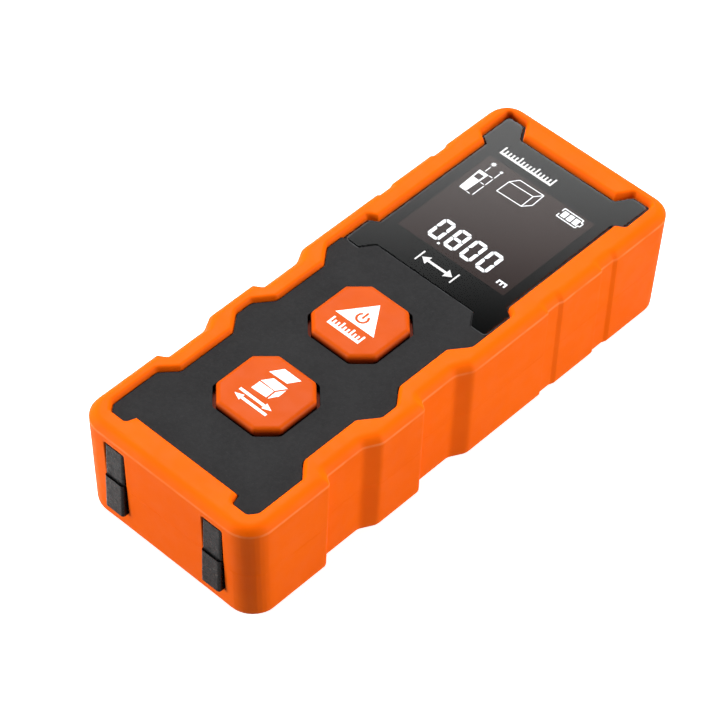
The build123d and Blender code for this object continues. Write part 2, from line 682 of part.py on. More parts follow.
def board_screws():
    return Compound(children=[
        screw(x, y, BOARD_Z[0], 1.3, 0.8, 0.65, 3.0, True) for x, y in mirrored(BOARD_SCREWS)
    ])


def bench_screws():
    return Compound(children=[screw(x, y, EAR_Z[1], 1.4, 0.9, 0.6, 3.4, False) for x, y in BENCH_EARS])


# ---- write every sub-part -----------------------------------------------------------------

REAR_PLATE_Y = BAY_Y[0] + CONTACT_THICK
FRONT_PLATE_Y = BAY_Y[1] - CONTACT_THICK
REAR_SPRING_TIP = REAR_PLATE_Y + SPRING_LENGTH
FRONT_SPRING_TIP = FRONT_PLATE_Y - SPRING_LENGTH

NODES = {
    "upper_casing": upper_casing(),
    "lower_casing": lower_casing(),
    "upper_bumper": upper_bumper(),
    "lower_bumper": lower_bumper(),
    "case_gasket": gasket_ring(),
    "display_window": display_window(),
    "window_adhesive": window_adhesive(),
    "lcd_panel": lcd_panel(),
    "lcd_holder": lcd_holder(),
    "lcd_backlight": lcd_backlight(),
    "zebra_strip": zebra_strip(),
    "measure_button": button(BUTTON_Y["measure"]),
    "units_button": button(BUTTON_Y["units"]),
    "measure_dome": dome(BUTTON_Y["measure"]),
    "units_dome": dome(BUTTON_Y["units"]),
    "keypad_sheet": keypad_sheet(),
    "main_board": main_board(),
    "processor_chip": processor_chip(),
    "shield_can": shield_can(),
    "small_components": small_components(),
    "sensor_connector": sensor_connector(),
    "buzzer": buzzer(),
    "optical_bench": optical_bench(),
    "laser_barrel": laser_barrel(),
    "laser_diode": laser_diode(),
    "laser_board": laser_board(),
    "collimating_lens": collimating_lens(),
    "receiver_lens": receiver_lens(),
    "lens_ring": lens_ring(),
    "photodiode": photodiode(),
    "receiver_board": receiver_board(),
    "front_bezel": front_bezel(),
    "emitter_window": front_window(LASER_X, EMITTER_WINDOW_R),
    "receiver_window": front_window(RECEIVER_X, RECEIVER_WINDOW_R),
    "cell_left": cell(-CELL_X, REAR_SPRING_TIP, True),
    "cell_right": cell(CELL_X, BAY_Y[0] + 1.2, False),
    "rear_spring": coil_spring(-CELL_X, REAR_PLATE_Y, REAR_SPRING_TIP),
    "front_spring": coil_spring(CELL_X, FRONT_PLATE_Y, FRONT_SPRING_TIP),
    "link_plate": link_plate(),
    "positive_contact": positive_contact(),
    "negative_contact": negative_contact(),
    "battery_door": battery_door(),
    "door_pad": door_pad(),
    "case_screws": case_screws(),
    "board_screws": board_screws(),
    "bench_screws": bench_screws(),
}

os.makedirs("parts", exist_ok=True)
for node_name, node_shape in NODES.items():
    save(node_shape, node_name)
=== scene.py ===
import math

import bmesh
import bpy
import numpy as np
from mathutils import Matrix, Vector


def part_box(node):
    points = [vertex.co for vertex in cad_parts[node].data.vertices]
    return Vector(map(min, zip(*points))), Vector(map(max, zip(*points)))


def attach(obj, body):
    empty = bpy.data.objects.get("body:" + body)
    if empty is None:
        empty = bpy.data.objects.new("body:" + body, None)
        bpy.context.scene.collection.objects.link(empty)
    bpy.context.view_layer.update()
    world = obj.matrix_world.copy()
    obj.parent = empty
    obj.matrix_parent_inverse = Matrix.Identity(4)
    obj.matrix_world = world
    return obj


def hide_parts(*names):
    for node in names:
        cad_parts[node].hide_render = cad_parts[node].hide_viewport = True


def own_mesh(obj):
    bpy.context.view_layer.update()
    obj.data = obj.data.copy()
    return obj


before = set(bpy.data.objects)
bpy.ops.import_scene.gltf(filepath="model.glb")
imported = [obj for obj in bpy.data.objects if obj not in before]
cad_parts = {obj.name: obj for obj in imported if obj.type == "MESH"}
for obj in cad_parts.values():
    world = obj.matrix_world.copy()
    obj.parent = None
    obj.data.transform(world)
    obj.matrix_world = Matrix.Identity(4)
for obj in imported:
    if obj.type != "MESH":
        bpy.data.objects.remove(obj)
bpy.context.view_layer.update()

# Pocket laser distance meter. Sizes are in millimetres, in the frame's axes: +Y is the laser end
# and +Z comes out of the display.
MM = 0.001


def box_mm(node):
    """Lowest and highest corner of a CAD node, in millimetres."""
    low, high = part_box(node)
    return [v / MM for v in low], [v / MM for v in high]


RUBBER_LOW, RUBBER_HIGH = box_mm("upper_bumper")
CASE_TOP = box_mm("upper_casing")[1]
HALF_WIDTH = RUBBER_HIGH[0]
FRONT_Y = RUBBER_HIGH[1]
RIM_Z = RUBBER_HIGH[2]
SPLIT_Z = RUBBER_LOW[2]
PLATE_Z = CASE_TOP[2]
PLATE_X = -0.25                 # the plate and its window stand a little to the left
PAD_Y = box_mm("lower_casing")[0][1]
KEY_TOP_Z = box_mm("measure_button")[1][2]
LCD_Z = box_mm("lcd_panel")[1][2]

WAIST_DEPTH = 1.6
WAISTS = ((-33.8, -32.8, -24.5, -21.6), (-11.6, -10.6, -2.6, 0.3))
GRIP_NOTCHES = ((18.7, 22.6), (32.4, 36.5))
GRIP_NOTCH_DEPTH = 0.35
REAR_CREASE_Y = PAD_Y + 0.2     # the crease round the rim stands just inside the pads' faces
CREASE_DROP = 1.5               # the rim falls this far from its crown to the crease
CREASE_Z = RIM_Z - CREASE_DROP

CASE_HALF_WIDTH = 17.3          # hard case under the rubber
CASE_REAR_Y = -49.2
CASE_FRONT_Y = 50.0
SHOULDER_TOP_Z = 20.6
SHOULDER_BOTTOM_Z = 2.0

SIDE_LEAN = 0.12                # how far the walls lean in between crease and floor
REAR_LEAN = 1.15
FRONT_LEAN = 0.6
CORNER_LEAN = 0.5               # more lean towards the front corners


# ---- outlines --------------------------------


def rounded_line(points, longest=0.8, turn=0.16):
    """Dense points along corners (x, y, radius), each corner turned as an arc."""
    line = [np.array(points[0][:2], float)]
    for before, here, after in zip(points, points[1:], points[2:]):
        corner, radius = np.array(here[:2], float), here[2]
        back = np.array(before[:2], float) - corner
        ahead = np.array(after[:2], float) - corner
        back /= np.linalg.norm(back)
        ahead /= np.linalg.norm(ahead)
        half = math.acos(np.clip(back @ ahead, -1, 1)) / 2
        middle = (back + ahead) / np.linalg.norm(back + ahead)
        centre = corner + middle * radius / math.sin(half)
        start = corner + back * radius / math.tan(half) - centre
        sweep = math.pi - 2 * half
        if start[0] * ahead[1] - start[1] * ahead[0] < 0:
            sweep = -sweep
        steps = max(2, math.ceil(abs(sweep) / turn))
        for i in range(steps + 1):
            a = sweep * i / steps
            x = start[0] * math.cos(a) - start[1] * math.sin(a)
            y = start[0] * math.sin(a) + start[1] * math.cos(a)
            line.append(centre + np.array([x, y]))
    line.append(np.array(points[-1][:2], float))
    dense = [line[0]]
    for a, b in zip(line, line[1:]):
        runs = max(1, math.ceil(np.linalg.norm(b - a) / longest))
        dense += [a + (b - a) * i / runs for i in range(1, runs + 1)]
    return np.array(dense)


def half_line(corners):
    """Right half of a plan outline, from the middle of its rear to the middle of its front."""
    rear, front = corners[0][1], corners[-1][1]
    return rounded_line([(0.0, rear, 0.0), *corners, (0.0, front, 0.0)])


class Outline:
    """Right half of a plan outline, cut at its corners into a rear, a side and a front run."""

    def __init__(self, corners, shift=0.0):
        self.shift = shift
        line = half_line(corners)
        wide = line[:, 0].max()
        rear = np.argmin(np.hypot(line[:, 0] - wide, line[:, 1] - line[0, 1]))
        front = np.argmin(np.hypot(line[:, 0] - wide, line[:, 1] - line[-1, 1]))
        # Each run lists its own coordinate first: x along the ends, y along the side.
        self.runs = [line[: rear + 1], line[rear : front + 1, ::-1], line[front:][::-1]]


def knots(outer, inner, run):
    """Where two outlines answer each other: straight across, except within blend of a corner."""
    blend = 9.0
    a0, b0 = outer.runs[run][[0, -1], 0]
    a1, b1 = inner.runs[run][[0, -1], 0]
    if run == 1:
        return [a0, a0 + blend, b0 - blend, b0], [a1, a0 + blend, b0 - blend, b1]
    return [a0, b0 - blend, b0], [a1, b0 - blend, b1]


def matching_loops(*outlines):
    """Closed loops with the same stations, the first outline setting the pace."""
    closest = 0.04
    outer = outlines[0]
    halves = [[] for _ in outlines]
    for run in range(3):
        pairs = [knots(outer, each, run) for each in outlines]
        wanted = [np.interp(o.runs[run][:, 0], k1, k0) for o, (k0, k1) in zip(outlines, pairs)]
        end = outer.runs[run][-1, 0]
        stations = []
        for t in sorted(np.concatenate(wanted)):
            if (not stations or t - stations[-1] > closest) and t < end - closest:
                stations.append(t)
        stations = np.array(stations + [end])
        stations = stations[::-1] if run == 2 else stations[:-1]
        for half, outline, (k0, k1) in zip(halves, outlines, pairs):
            along = np.interp(stations, k0, k1)
            across = np.interp(along, outline.runs[run][:, 0], outline.runs[run][:, 1])
            pair = (across, along) if run == 1 else (along, across)
            half.append(np.column_stack(pair))
    loops = []
    for half, outline in zip(halves, outlines):
        right = np.vstack(half)
        left = right[1:-1][::-1] * [-1, 1]
        loops.append(np.vstack([right, left]) + [outline.shift, 0])
    return loops


def distance_to(points, loop):
    """Distance from each plan point to a closed loop."""
    along = np.roll(loop, -1, 0) - loop
    length2 = np.maximum((along**2).sum(1), 1e-12)
    batch = 1500
    found = np.empty(len(points))
    for i in range(0, len(points), batch):
        offset = points[i : i + batch, None, :] - loop
        t = np.clip((offset * along).sum(2) / length2, 0, 1)
        found[i : i + batch] = np.sqrt(((offset - t[..., None] * along) ** 2).sum(2).min(1))
    return found


def waisted(half_width, rear, front, rear_r, front_r, notched=False):
    """Body outline with two finger waists: crisp rear steps and soft front ramps."""
    side = [(half_width, rear, rear_r)]
    deep, ramp_r = half_width - WAIST_DEPTH, 2.4
    for step_start, step_end, ramp_start, ramp_end in WAISTS:
        side += [(half_width, step_start, 0.8), (deep, step_end, 0.6)]
        side += [(deep, ramp_start, ramp_r), (half_width, ramp_end, ramp_r)]
    if notched:
        deep, step_r, ramp_r = half_width - GRIP_NOTCH_DEPTH, 0.12, 0.7
        for y0, y1 in GRIP_NOTCHES:
            side += [(half_width, y0, step_r), (deep, y0 + 0.2, step_r)]
            side += [(deep, y1 - 0.9, ramp_r), (half_width, y1, ramp_r)]
    side.append((half_width, front, front_r))
    return Outline(side)


RUBBER = waisted(HALF_WIDTH, REAR_CREASE_Y, FRONT_Y, 5.0, 4.5, notched=True)
CASING = waisted(CASE_HALF_WIDTH, CASE_REAR_Y, CASE_FRONT_Y, 3.4, 3.0)
RIM = Outline([
    (11.5, -45.8, 0.3), (12.1, -47.7, 0.5), (15.3, -47.7, 0.6), (16.25, -46.4, 0.8),
    (16.25, -36.6, 1.2), (13.65, -33.7, 1.2), (13.65, -21.7, 1.2), (16.25, -18.3, 1.2),
    (16.25, -14.8, 1.2), (13.65, -11.4, 1.2), (13.65, -0.05, 1.2), (16.25, 3.4, 1.2),
    (16.25, 13.2, 0.4), (14.6, 14.2, 0.4), (14.6, 41.4, 0.4), (16.25, 42.4, 0.4),
    (16.25, 49.45, 0.8), (12.35, 49.45, 0.6), (10.5, 46.5, 0.5),
], PLATE_X)
BACK_PANEL = Outline([(14.0, -47.3, 3.0), (14.0, 47.0, 3.0)])
WINDOW_CORNERS = [
    (11.0, 9.85, 0.4), (12.8, 7.25, 0.6), (15.9, 7.25, 0.8), (15.9, 13.45, 0.3),
    (14.25, 14.35, 0.3), (14.25, 41.25, 0.3), (15.9, 42.25, 0.3), (15.9, 49.1, 0.8),
    (12.5, 49.1, 0.6), (10.65, 46.15, 0.4),
]


# ---- mesh helpers ----------------------------


def add_object(name, data):
    """New object in the scene, from a mesh, a curve, a light or a camera."""
    thing = bpy.data.objects.new(name, data)
    bpy.context.scene.collection.objects.link(thing)
    return thing


def shade(mesh, sharp_degrees=38):
    """Smooth shading, with edges sharper than an angle left crisp."""
    work = bmesh.new()
    work.from_mesh(mesh)
    limit = math.radians(sharp_degrees)
    for edge in work.edges:
        edge.smooth = len(edge.link_faces) == 2 and edge.calc_face_angle(0.0) < limit
    for face in work.faces:
        face.smooth = True
    work.to_mesh(mesh)
    work.free()


def grid_faces(rows, count, rows_meet=True, points_meet=True):
    """Quads over rows of count points each; a direction that meets closes on itself."""
    faces = []
    for i in range(rows if rows_meet else rows - 1):
        a, b = i * count, (i + 1) % rows * count
        for k in range(count if points_meet else count - 1):
            n = (k + 1) % count
            faces.append((a + k, b + k, b + n, a + n))
    return faces


def mesh_from(name, points, faces):
    """Mesh from an array of points in millimetres."""
    mesh = bpy.data.meshes.new(name)
    mesh.from_pydata((np.asarray(points) * MM).tolist(), [], faces)
    return mesh


def turned_outward(mesh, welded=False):
    """The mesh with its faces turned outward, and first with its doubled points joined if asked."""
    work = bmesh.new()
    work.from_mesh(mesh)
    if welded:
        bmesh.ops.remove_doubles(work, verts=work.verts, dist=1e-7)
        bmesh.ops.dissolve_degenerate(work, dist=1e-8, edges=work.edges)
    bmesh.ops.recalc_face_normals(work, faces=work.faces)
    work.to_mesh(mesh)
    work.free()
    return mesh


def final_mesh(thing):
    """A curve, or an object with its modifiers, as a mesh of its own."""
    graph = bpy.context.evaluated_depsgraph_get()
    return bpy.data.meshes.new_from_object(thing.evaluated_get(graph))


def smooth_step(value, low, high):
    """Smooth climb from 0 to 1 while the value goes from low to high."""
    t = np.clip((value - low) / (high - low), 0, 1)
    return t * t * (3 - 2 * t)


def at_height(loop, z):
    """Plan loop as points at one height or at a height each."""
    return np.column_stack([loop, np.broadcast_to(z, len(loop))])


def inward(loop, towards, amount):
    """Loop moved a distance towards its matching loop."""
    gap = towards - loop
    length = np.linalg.norm(gap, axis=1)[:, None]
    return loop + gap / length * np.minimum(amount, 0.9 * length)


def lean(x, y, z):
    """How far the end walls lean in at a point."""
    down = (CREASE_Z - z) / CREASE_Z
    front = FRONT_LEAN + CORNER_LEAN * smooth_step(np.abs(x), 11, 17)
    amount = np.where(y < 0, REAR_LEAN, front)
    return amount * down * smooth_step(np.abs(y), 42, 50)


def drafted(loop, z):
    """Outside loop at height z on the leaning walls."""
    x, y = loop.T
    down = (CREASE_Z - z) / CREASE_Z
    return np.column_stack([x * (1 - SIDE_LEAN * down / HALF_WIDTH), y - np.sign(y) * lean(x, y, z)])


# ---- rubber overmoulds -----------------------

PLATE_GAP = 0.16       # fine groove between the keypad plate and the rubber
ROLL_WIDTH = 0.75      # inner rounding of the rim
SLOPE_WIDTH = 2.1      # outer slope down to the crease
SEAM_CHAMFER = 0.04    # both overmoulds break their edge at the parting line
FOOT_RADIUS = 1.5
FOOT_DROP = 0.45       # the rubber's inner edge starts this far below the plate
# Shares of the way from the plate to the outside: dense where the rim rolls and where it slopes.
RIM_SHARES = (
    0, .003, .01, .02, .035, .055, .08, .11, .145, .185, .23, .28, .35, .42, .5, .58,
    .65, .71, .77, .82, .86, .9, .93, .96, .985,
)


def rim_height(plan, rim_loop, outer_loop):
    """Height of the rim's top: a rolled inner edge, a flat crown and a slope to the crease."""
    foot_z = PLATE_Z - FOOT_DROP
    from_rim = np.clip((distance_to(plan, rim_loop) - PLATE_GAP) / ROLL_WIDTH, 0, 1)
    from_edge = np.clip(distance_to(plan, outer_loop) / SLOPE_WIDTH, 0, 1)
    roll = (RIM_Z - foot_z) * np.sqrt(1 - (1 - from_rim) ** 2)
    return foot_z + roll - CREASE_DROP * (1 - from_edge) ** 2.2


def upper_rubber():
    """Skin of the upper overmould: over the rim, down the wall and back up inside."""
    outer, rim, casing = matching_loops(RUBBER, RIM, CASING)
    start = inward(rim, outer, PLATE_GAP)
    rows = []
    for share in RIM_SHARES:
        plan = start + (outer - start) * share
        rows.append(at_height(plan, rim_height(plan, rim, outer)))
    rows.append(at_height(inward(outer, rim, 0.03), CREASE_Z + 0.05))
    wall = (CREASE_Z - 0.18, CREASE_Z - 0.5, 18.5, 15.5, 13.0, SPLIT_Z + 0.4, SPLIT_Z + SEAM_CHAMFER)
    for z in wall:
        rows.append(at_height(drafted(outer, z), z))
    seam = inward(drafted(outer, SPLIT_Z), casing, SEAM_CHAMFER)
    rows.append(at_height(seam, SPLIT_Z))
    rows.append(at_height(casing, SPLIT_Z))
    rows.append(at_height(casing, SHOULDER_TOP_Z))
    rows.append(at_height(start, SHOULDER_TOP_Z))
    return mesh_from("upper_rubber", np.vstack(rows), grid_faces(len(rows), len(outer)))


def lower_rubber():
    """Skin of the lower overmould: down the wall, round the foot and back up inside."""
    outer, panel, casing = matching_loops(RUBBER, BACK_PANEL, CASING)
    rows = [at_height(casing, SPLIT_Z)]
    seam = inward(drafted(outer, SPLIT_Z), casing, SEAM_CHAMFER)
    rows.append(at_height(seam, SPLIT_Z))
    for z in (SPLIT_Z - SEAM_CHAMFER, SPLIT_Z - 0.4, 9.0, 6.5, 4.0, 2.4):
        rows.append(at_height(drafted(outer, z), z))
    for degrees in range(0, 91, 10):
        a = math.radians(degrees)
        z = FOOT_RADIUS * (1 - math.sin(a))
        side = drafted(outer, z)
        rows.append(at_height(inward(side, panel, FOOT_RADIUS * (1 - math.cos(a))), z))
    foot = rows[-1][:, :2]
    rows.append(at_height((foot + panel) / 2, 0.0))
    lip = 0.35
    for degrees in range(0, 91, 18):
        a = math.radians(degrees)
        edge = inward(panel, foot, lip * (1 - math.sin(a)))
        rows.append(at_height(edge, lip * (1 - math.cos(a))))
    rows.append(at_height(panel, SHOULDER_BOTTOM_Z))
    rows.append(at_height(casing, SHOULDER_BOTTOM_Z))
    return mesh_from("lower_rubber", np.vstack(rows), grid_faces(len(rows), len(outer)))


def lipped_cutter(name, x, z, half_x, half_z, radius, side, depth):
    """Prism along Y that cuts an opening with a rounded lip through a leaning end wall."""
    loop = []
    for corner, (sx, sz) in enumerate(((1, 1), (-1, 1), (-1, -1), (1, -1))):
        centre_x, centre_z = sx * (half_x - radius), sz * (half_z - radius)
        for i in range(7):
            a = math.radians(90 * corner + 15 * i)
            loop.append((centre_x + radius * math.cos(a), centre_z + radius * math.sin(a)))
    loop = np.array(loop)
    lip = 0.3
    sections = [(-1.5, lip), (0.0, lip), (0.04, 0.6 * lip), (0.12, 0.27 * lip), (0.3, 0.0), (depth, 0.0)]
    end_y = REAR_CREASE_Y if side < 0 else FRONT_Y
    rows = []
    for inset, grow in sections:
        wide = loop * (1 + grow / np.array([half_x, half_z]))
        px, pz = x + wide[:, 0], z + wide[:, 1]
        y = end_y - side * (lean(px, np.full(len(px), end_y), pz) + inset)
        rows.append(np.column_stack([px, y, pz]))
    count = len(loop)
    last = (len(rows) - 1) * count
    faces = [tuple(range(count)), tuple(range(last + count - 1, last - 1, -1))]
    faces += grid_faces(len(rows), count, rows_meet=False)
    return add_object(name, turned_outward(mesh_from(name, np.vstack(rows), faces)))


def opening_cutters():
    """Cutters for the slots of both rear pads and for the front bezel's opening."""
    pad_x, pad_half, pad_low, pad_high = 11.03, 2.08, 4.6, 19.6
    gap = 0.1
    z, half_z = (pad_low + pad_high) / 2, (pad_high - pad_low) / 2 + gap
    cutters = []
    for side in (-1, 1):
        x = side * pad_x
        cutters.append(lipped_cutter("slot_cutter", x, z, pad_half + gap, half_z, 0.35, -1, 3.4))
    cutters.append(lipped_cutter("bezel_cutter", 0.0, 11.0, 14.1 + gap, 7.3 + gap, 2.3, 1, 3.6))
    return cutters


def build_rubber():
    """Both overmoulds, with the pads' slots and the front opening cut through them."""
    cutters = opening_cutters()
    for name, mesh, node in (
        ("upper_rubber", upper_rubber(), "upper_bumper"),
        ("lower_rubber", lower_rubber(), "lower_bumper"),
    ):
        piece = add_object(name, mesh)
        for cutter in cutters:
            cut = piece.modifiers.new("cut", "BOOLEAN")
            cut.object = cutter
            cut.operation = "DIFFERENCE"
            cut.solver = "EXACT"
        made = final_mesh(piece)
        made.name = name
        piece.modifiers.clear()
        piece.data = made
        shade(made)
        finish_piece(piece, "rubber", "housing")
        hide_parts(node)
    for cutter in cutters:
        bpy.data.objects.remove(cutter)


# ---- printed shapes --------------------------


def flat_print(name, islands, z, thick=0.02):
    """Thin raised print. An island is a polygon, or a list of an outer polygon and its holes."""
    work = bmesh.new()
    for island in islands:
        loops = island if isinstance(island[0][0], (tuple, list)) else [island]
        curve = bpy.data.curves.new(name, "CURVE")
        curve.dimensions = "2D"
        curve.fill_mode = "BOTH"
        curve.extrude = thick / 2 * MM
        for loop in loops:
            spline = curve.splines.new("POLY")
            spline.points.add(len(loop) - 1)
            for point, (x, y) in zip(spline.points, loop):
                point.co = (x * MM, y * MM, 0, 1)
            spline.use_cyclic_u = True
        holder = add_object(name + "_curve", curve)
        part = final_mesh(holder)
        work.from_mesh(part)
        bpy.data.objects.remove(holder)
        bpy.data.meshes.remove(part)
    mesh = bpy.data.meshes.new(name)
    work.to_mesh(mesh)
    work.free()
    mesh.transform(Matrix.Translation((0, 0, (z + thick / 2) * MM)))
    return add_object(name, mesh)


def rectangle(x0, x1, y0, y1):
    return [(x0, y0), (x1, y0), (x1, y1), (x0, y1)]


def stroke(a, b, width):
    """Bar from a to b."""
    ax, ay = a
    bx, by = b
    length = math.hypot(bx - ax, by - ay)
    nx, ny = -(by - ay) / length * width / 2, (bx - ax) / length * width / 2
    return [(ax + nx, ay + ny), (ax - nx, ay - ny), (bx - nx, by - ny), (bx + nx, by + ny)]


def arc(x, y, radius, start, sweep, sides=26):
    """Points along an arc, from a start angle in degrees."""
    points = []
    for i in range(sides + 1):
        a = math.radians(start + sweep * i / sides)
        points.append((x + radius * math.cos(a), y + radius * math.sin(a)))
    return points


def shrunk(shape, amount):
    """Polygon pulled in towards its middle by about a distance."""
    shape = np.array(shape)
    middle = shape.mean(0)
    reach = np.linalg.norm(shape - middle, axis=1).mean()
    return ((shape - middle) * (1 - amount / reach) + middle).tolist()


def moved(shape, dx, dy):
    return [(x + dx, y + dy) for x, y in shape]


# ---- display ---------------------------------

DIGIT_W, DIGIT_H, DIGIT_T = 2.75, 5.25, 0.74
LIT = {"0": "abcdef", "8": "abcdefg"}
DISPLAY_X = (-12.35, 11.6)
DISPLAY_Y = (16.3, 39.85)
INK_WIDTH = 0.17


def digit(lit, x, y):
    """Seven-segment digit with mitred bars and cut outer corners."""
    w, h, t, c = DIGIT_W, DIGIT_H, DIGIT_T, 0.5
    top = [(c, h), (w - c, h), (w - c / 2, h - c / 2), (w - t, h - t), (t, h - t), (c / 2, h - c / 2)]
    left = [(0, h - c), (c / 2, h - c / 2), (t, h - t), (t, h / 2 + t / 2), (t / 2, h / 2), (0, h / 2)]
    middle = [
        (t / 2, h / 2), (t, h / 2 + t / 2), (w - t, h / 2 + t / 2),
        (w - t / 2, h / 2), (w - t, h / 2 - t / 2), (t, h / 2 - t / 2),
    ]
    low_left = [(px, h - py) for px, py in left]
    bars = {
        "a": top, "b": [(w - px, py) for px, py in left], "c": [(w - px, py) for px, py in low_left],
        "d": [(px, h - py) for px, py in top], "e": low_left, "f": left, "g": middle,
    }
    gap = 0.09
    return [moved(shrunk(bars[bar], gap), x, y) for bar in lit]


def reading():
    """The measured length, a decimal point and the unit sign."""
    first_x, pitch, baseline = -7.55, 3.62, 18.0
    shapes = []
    for i, figure in enumerate("0800"):
        shapes += digit(LIT[figure], first_x + pitch * i, baseline)
    shapes.append(rectangle(-4.6, -4.15, 17.6, 18.05))
    left, right, foot, head, bar = 8.55, 10.45, 17.8, 18.8, 0.34
    inner_left, inner_right, arch = 9.33, 9.67, head - 0.32
    unit = [(left, foot), (left, head), (right, head), (right, foot), (right - bar, foot)]
    unit += [(right - bar, arch), (inner_right, arch), (inner_right, foot), (inner_left, foot)]
    unit += [(inner_left, arch), (left + bar, arch), (left + bar, foot)]
    shapes.append(unit)
    return shapes


def star(x, y, reach):
    """Eight-pointed star, for the laser's spot."""
    points = []
    for i in range(16):
        r = reach if i % 2 == 0 else reach * 0.42
        points.append((x + r * math.cos(math.pi * i / 8), y + r * math.sin(math.pi * i / 8)))
    return points


def meter_icon():
    """Small meter with its beam and its dimension line."""
    body = [(-11.34, 36.05), (-9.34, 36.05), (-9.58, 30.44), (-11.08, 30.44)]
    screen = [(-11.0, 34.0), (-9.72, 34.0), (-9.68, 35.2), (-9.8, 35.32), (-10.85, 35.32), (-11.0, 35.2)]
    shapes = [[body, screen], stroke((-10.39, 36.38), (-10.39, 37.83), INK_WIDTH)]
    for x, y in ((-9.17, 36.02), (-9.14, 33.78), (-9.38, 30.44)):
        shapes.append(stroke((x, y), (x + 0.75, y), INK_WIDTH))
    for y0, y1 in ((30.57, 33.48), (33.91, 35.78), (36.19, 37.64)):
        shapes.append(stroke((-8.12, y0), (-8.12, y1), INK_WIDTH))
    shapes.append(star(-10.42, 38.66, 0.62))
    shapes.append(star(-8.16, 38.11, 0.42))
    return shapes


def volume_icon():
    """Box drawn in outline."""
    front = [(-5.81, 34.22), (-5.73, 37.4), (-0.4, 37.59), (-0.33, 34.37)]
    back = [(-4.67, 38.99), (0.76, 39.06), (0.9, 35.86)]
    lines = list(zip(front, front[1:] + front[:1]))
    lines += [(front[1], back[0]), (back[0], back[1]), (front[2], back[1]), (back[1], back[2])]
    lines.append((back[2], front[3]))
    return [stroke(a, b, INK_WIDTH) for a, b in lines]


def battery_icon():
    """Three bars in a case with a nub at its right end."""
    x0, x1, y0, y1, wall = 5.4, 9.6, 36.95, 39.3, 0.22
    nub_x, nub_low, nub_high = x1 + 0.42, y0 + 0.7, y1 - 0.7
    case = [(x0, y0 + 0.8), (x0, y0), (x1, y0), (x1, nub_low), (nub_x, nub_low)]
    case += [(nub_x, nub_high), (x1, nub_high), (x1, y1), (x0, y1), (x0, y1 - 0.8)]
    lines = [stroke(a, b, wall) for a, b in zip(case, case[1:])]
    margin, pitch, width = 0.42, 1.27, 1.0
    bars = []
    for i in range(3):
        x = x0 + 0.4 + pitch * i
        bars.append(rectangle(x, x + width, y0 + margin, y1 - margin))
    return lines + bars


def rule(x0, x1, foot, base, ticks, width):
    """Comb of a base line with ticks that rise from it; ticks lists each one's height."""
    step = (x1 - x0 - width) / (len(ticks) - 1)
    top = foot + base
    comb = [(x0, foot)]
    for i, tall in enumerate(ticks):
        x = x0 + step * i
        comb += [(x, top), (x, top + tall), (x + width, top + tall), (x + width, top)]
    comb.append((x1, foot))
    return comb


def window_marks():
    """Plain scale above the display and a plain dimension arrow below it."""
    ticks = [1.5 if i % 5 == 0 else 0.95 for i in range(16)]
    shapes = [rule(-11.4, 0.3, 41.1, 0.5, ticks, 0.34)]
    x, y, reach = -0.45, 13.15, 3.75
    tip, neck, barb, half = reach - 0.35, reach - 1.75, 1.0, 0.26
    arrow = [(-tip, 0), (-neck, barb), (-neck, half), (neck, half), (neck, barb)]
    arrow += [(tip, 0), (neck, -barb), (neck, -half), (-neck, -half), (-neck, -barb)]
    shapes.append(moved(arrow, x, y))
    post, post_half = 0.3, 1.3
    for side in (-1, 1):
        a, b = sorted((x + side * reach, x + side * (reach + post)))
        shapes.append(rectangle(a, b, y - post_half, y + post_half))
    return shapes


def window_mask():
    """Black print round the display, on the underside of the window."""
    half = half_line(WINDOW_CORNERS)
    loop = np.vstack([half, half[1:-1][::-1] * [-1, 1]])
    middle = np.array([0.0, (loop[:, 1].max() + loop[:, 1].min()) / 2])
    inside_window = 0.992
    loop = middle + (loop - middle) * inside_window + [PLATE_X, 0]
    return [[loop.tolist(), rectangle(*DISPLAY_X, *DISPLAY_Y)]]


# ---- key prints ------------------------------


def measure_marks():
    """Triangle that points at the target, with a power sign cut out of it, over a short scale."""
    triangle = [(-4.75, -7.08), (3.83, -7.04), (-0.36, -0.97)]
    x, y, outer, inner = -0.45, -5.15, 1.25, 0.8
    ring = arc(x, y, outer, 128, 284) + arc(x, y, inner, 52, -284)
    bar = rectangle(x - 0.21, x + 0.21, y - 0.1, y + 1.55)
    ticks = [1.35 if i % 3 == 0 else 0.85 for i in range(10)]
    return [[triangle, ring, bar], rule(-4.1, 2.9, -9.9, 0.6, ticks, 0.36)]


def swap_arrow(x0, x1, y):
    """Arrow from x0 to x1."""
    half, barb = 0.27, 0.68
    neck = x1 - math.copysign(1.6, x1 - x0)
    return [
        (x0, y - half), (neck, y - half), (neck, y - barb), (x1, y),
        (neck, y + barb), (neck, y + half), (x0, y + half),
    ]


def units_marks():
    """Sheet and box, the faces of area and volume, over a pair of swap arrows."""
    return [
        [(-3.04, -24.43), (-1.65, -22.26), (2.12, -22.28), (0.81, -24.29)],
        [(-2.67, -26.72), (-1.46, -24.96), (1.71, -25.01), (0.5, -26.8)],
        [(-2.68, -28.94), (-2.65, -27.03), (0.47, -26.97), (0.5, -28.79)],
        [(1.8, -25.47), (1.85, -27.18), (0.86, -28.82), (0.8, -26.94)],
        swap_arrow(-3.9, 3.2, -30.3), swap_arrow(3.2, -3.9, -31.55),
    ]


# ---- springs and domes -----------------------


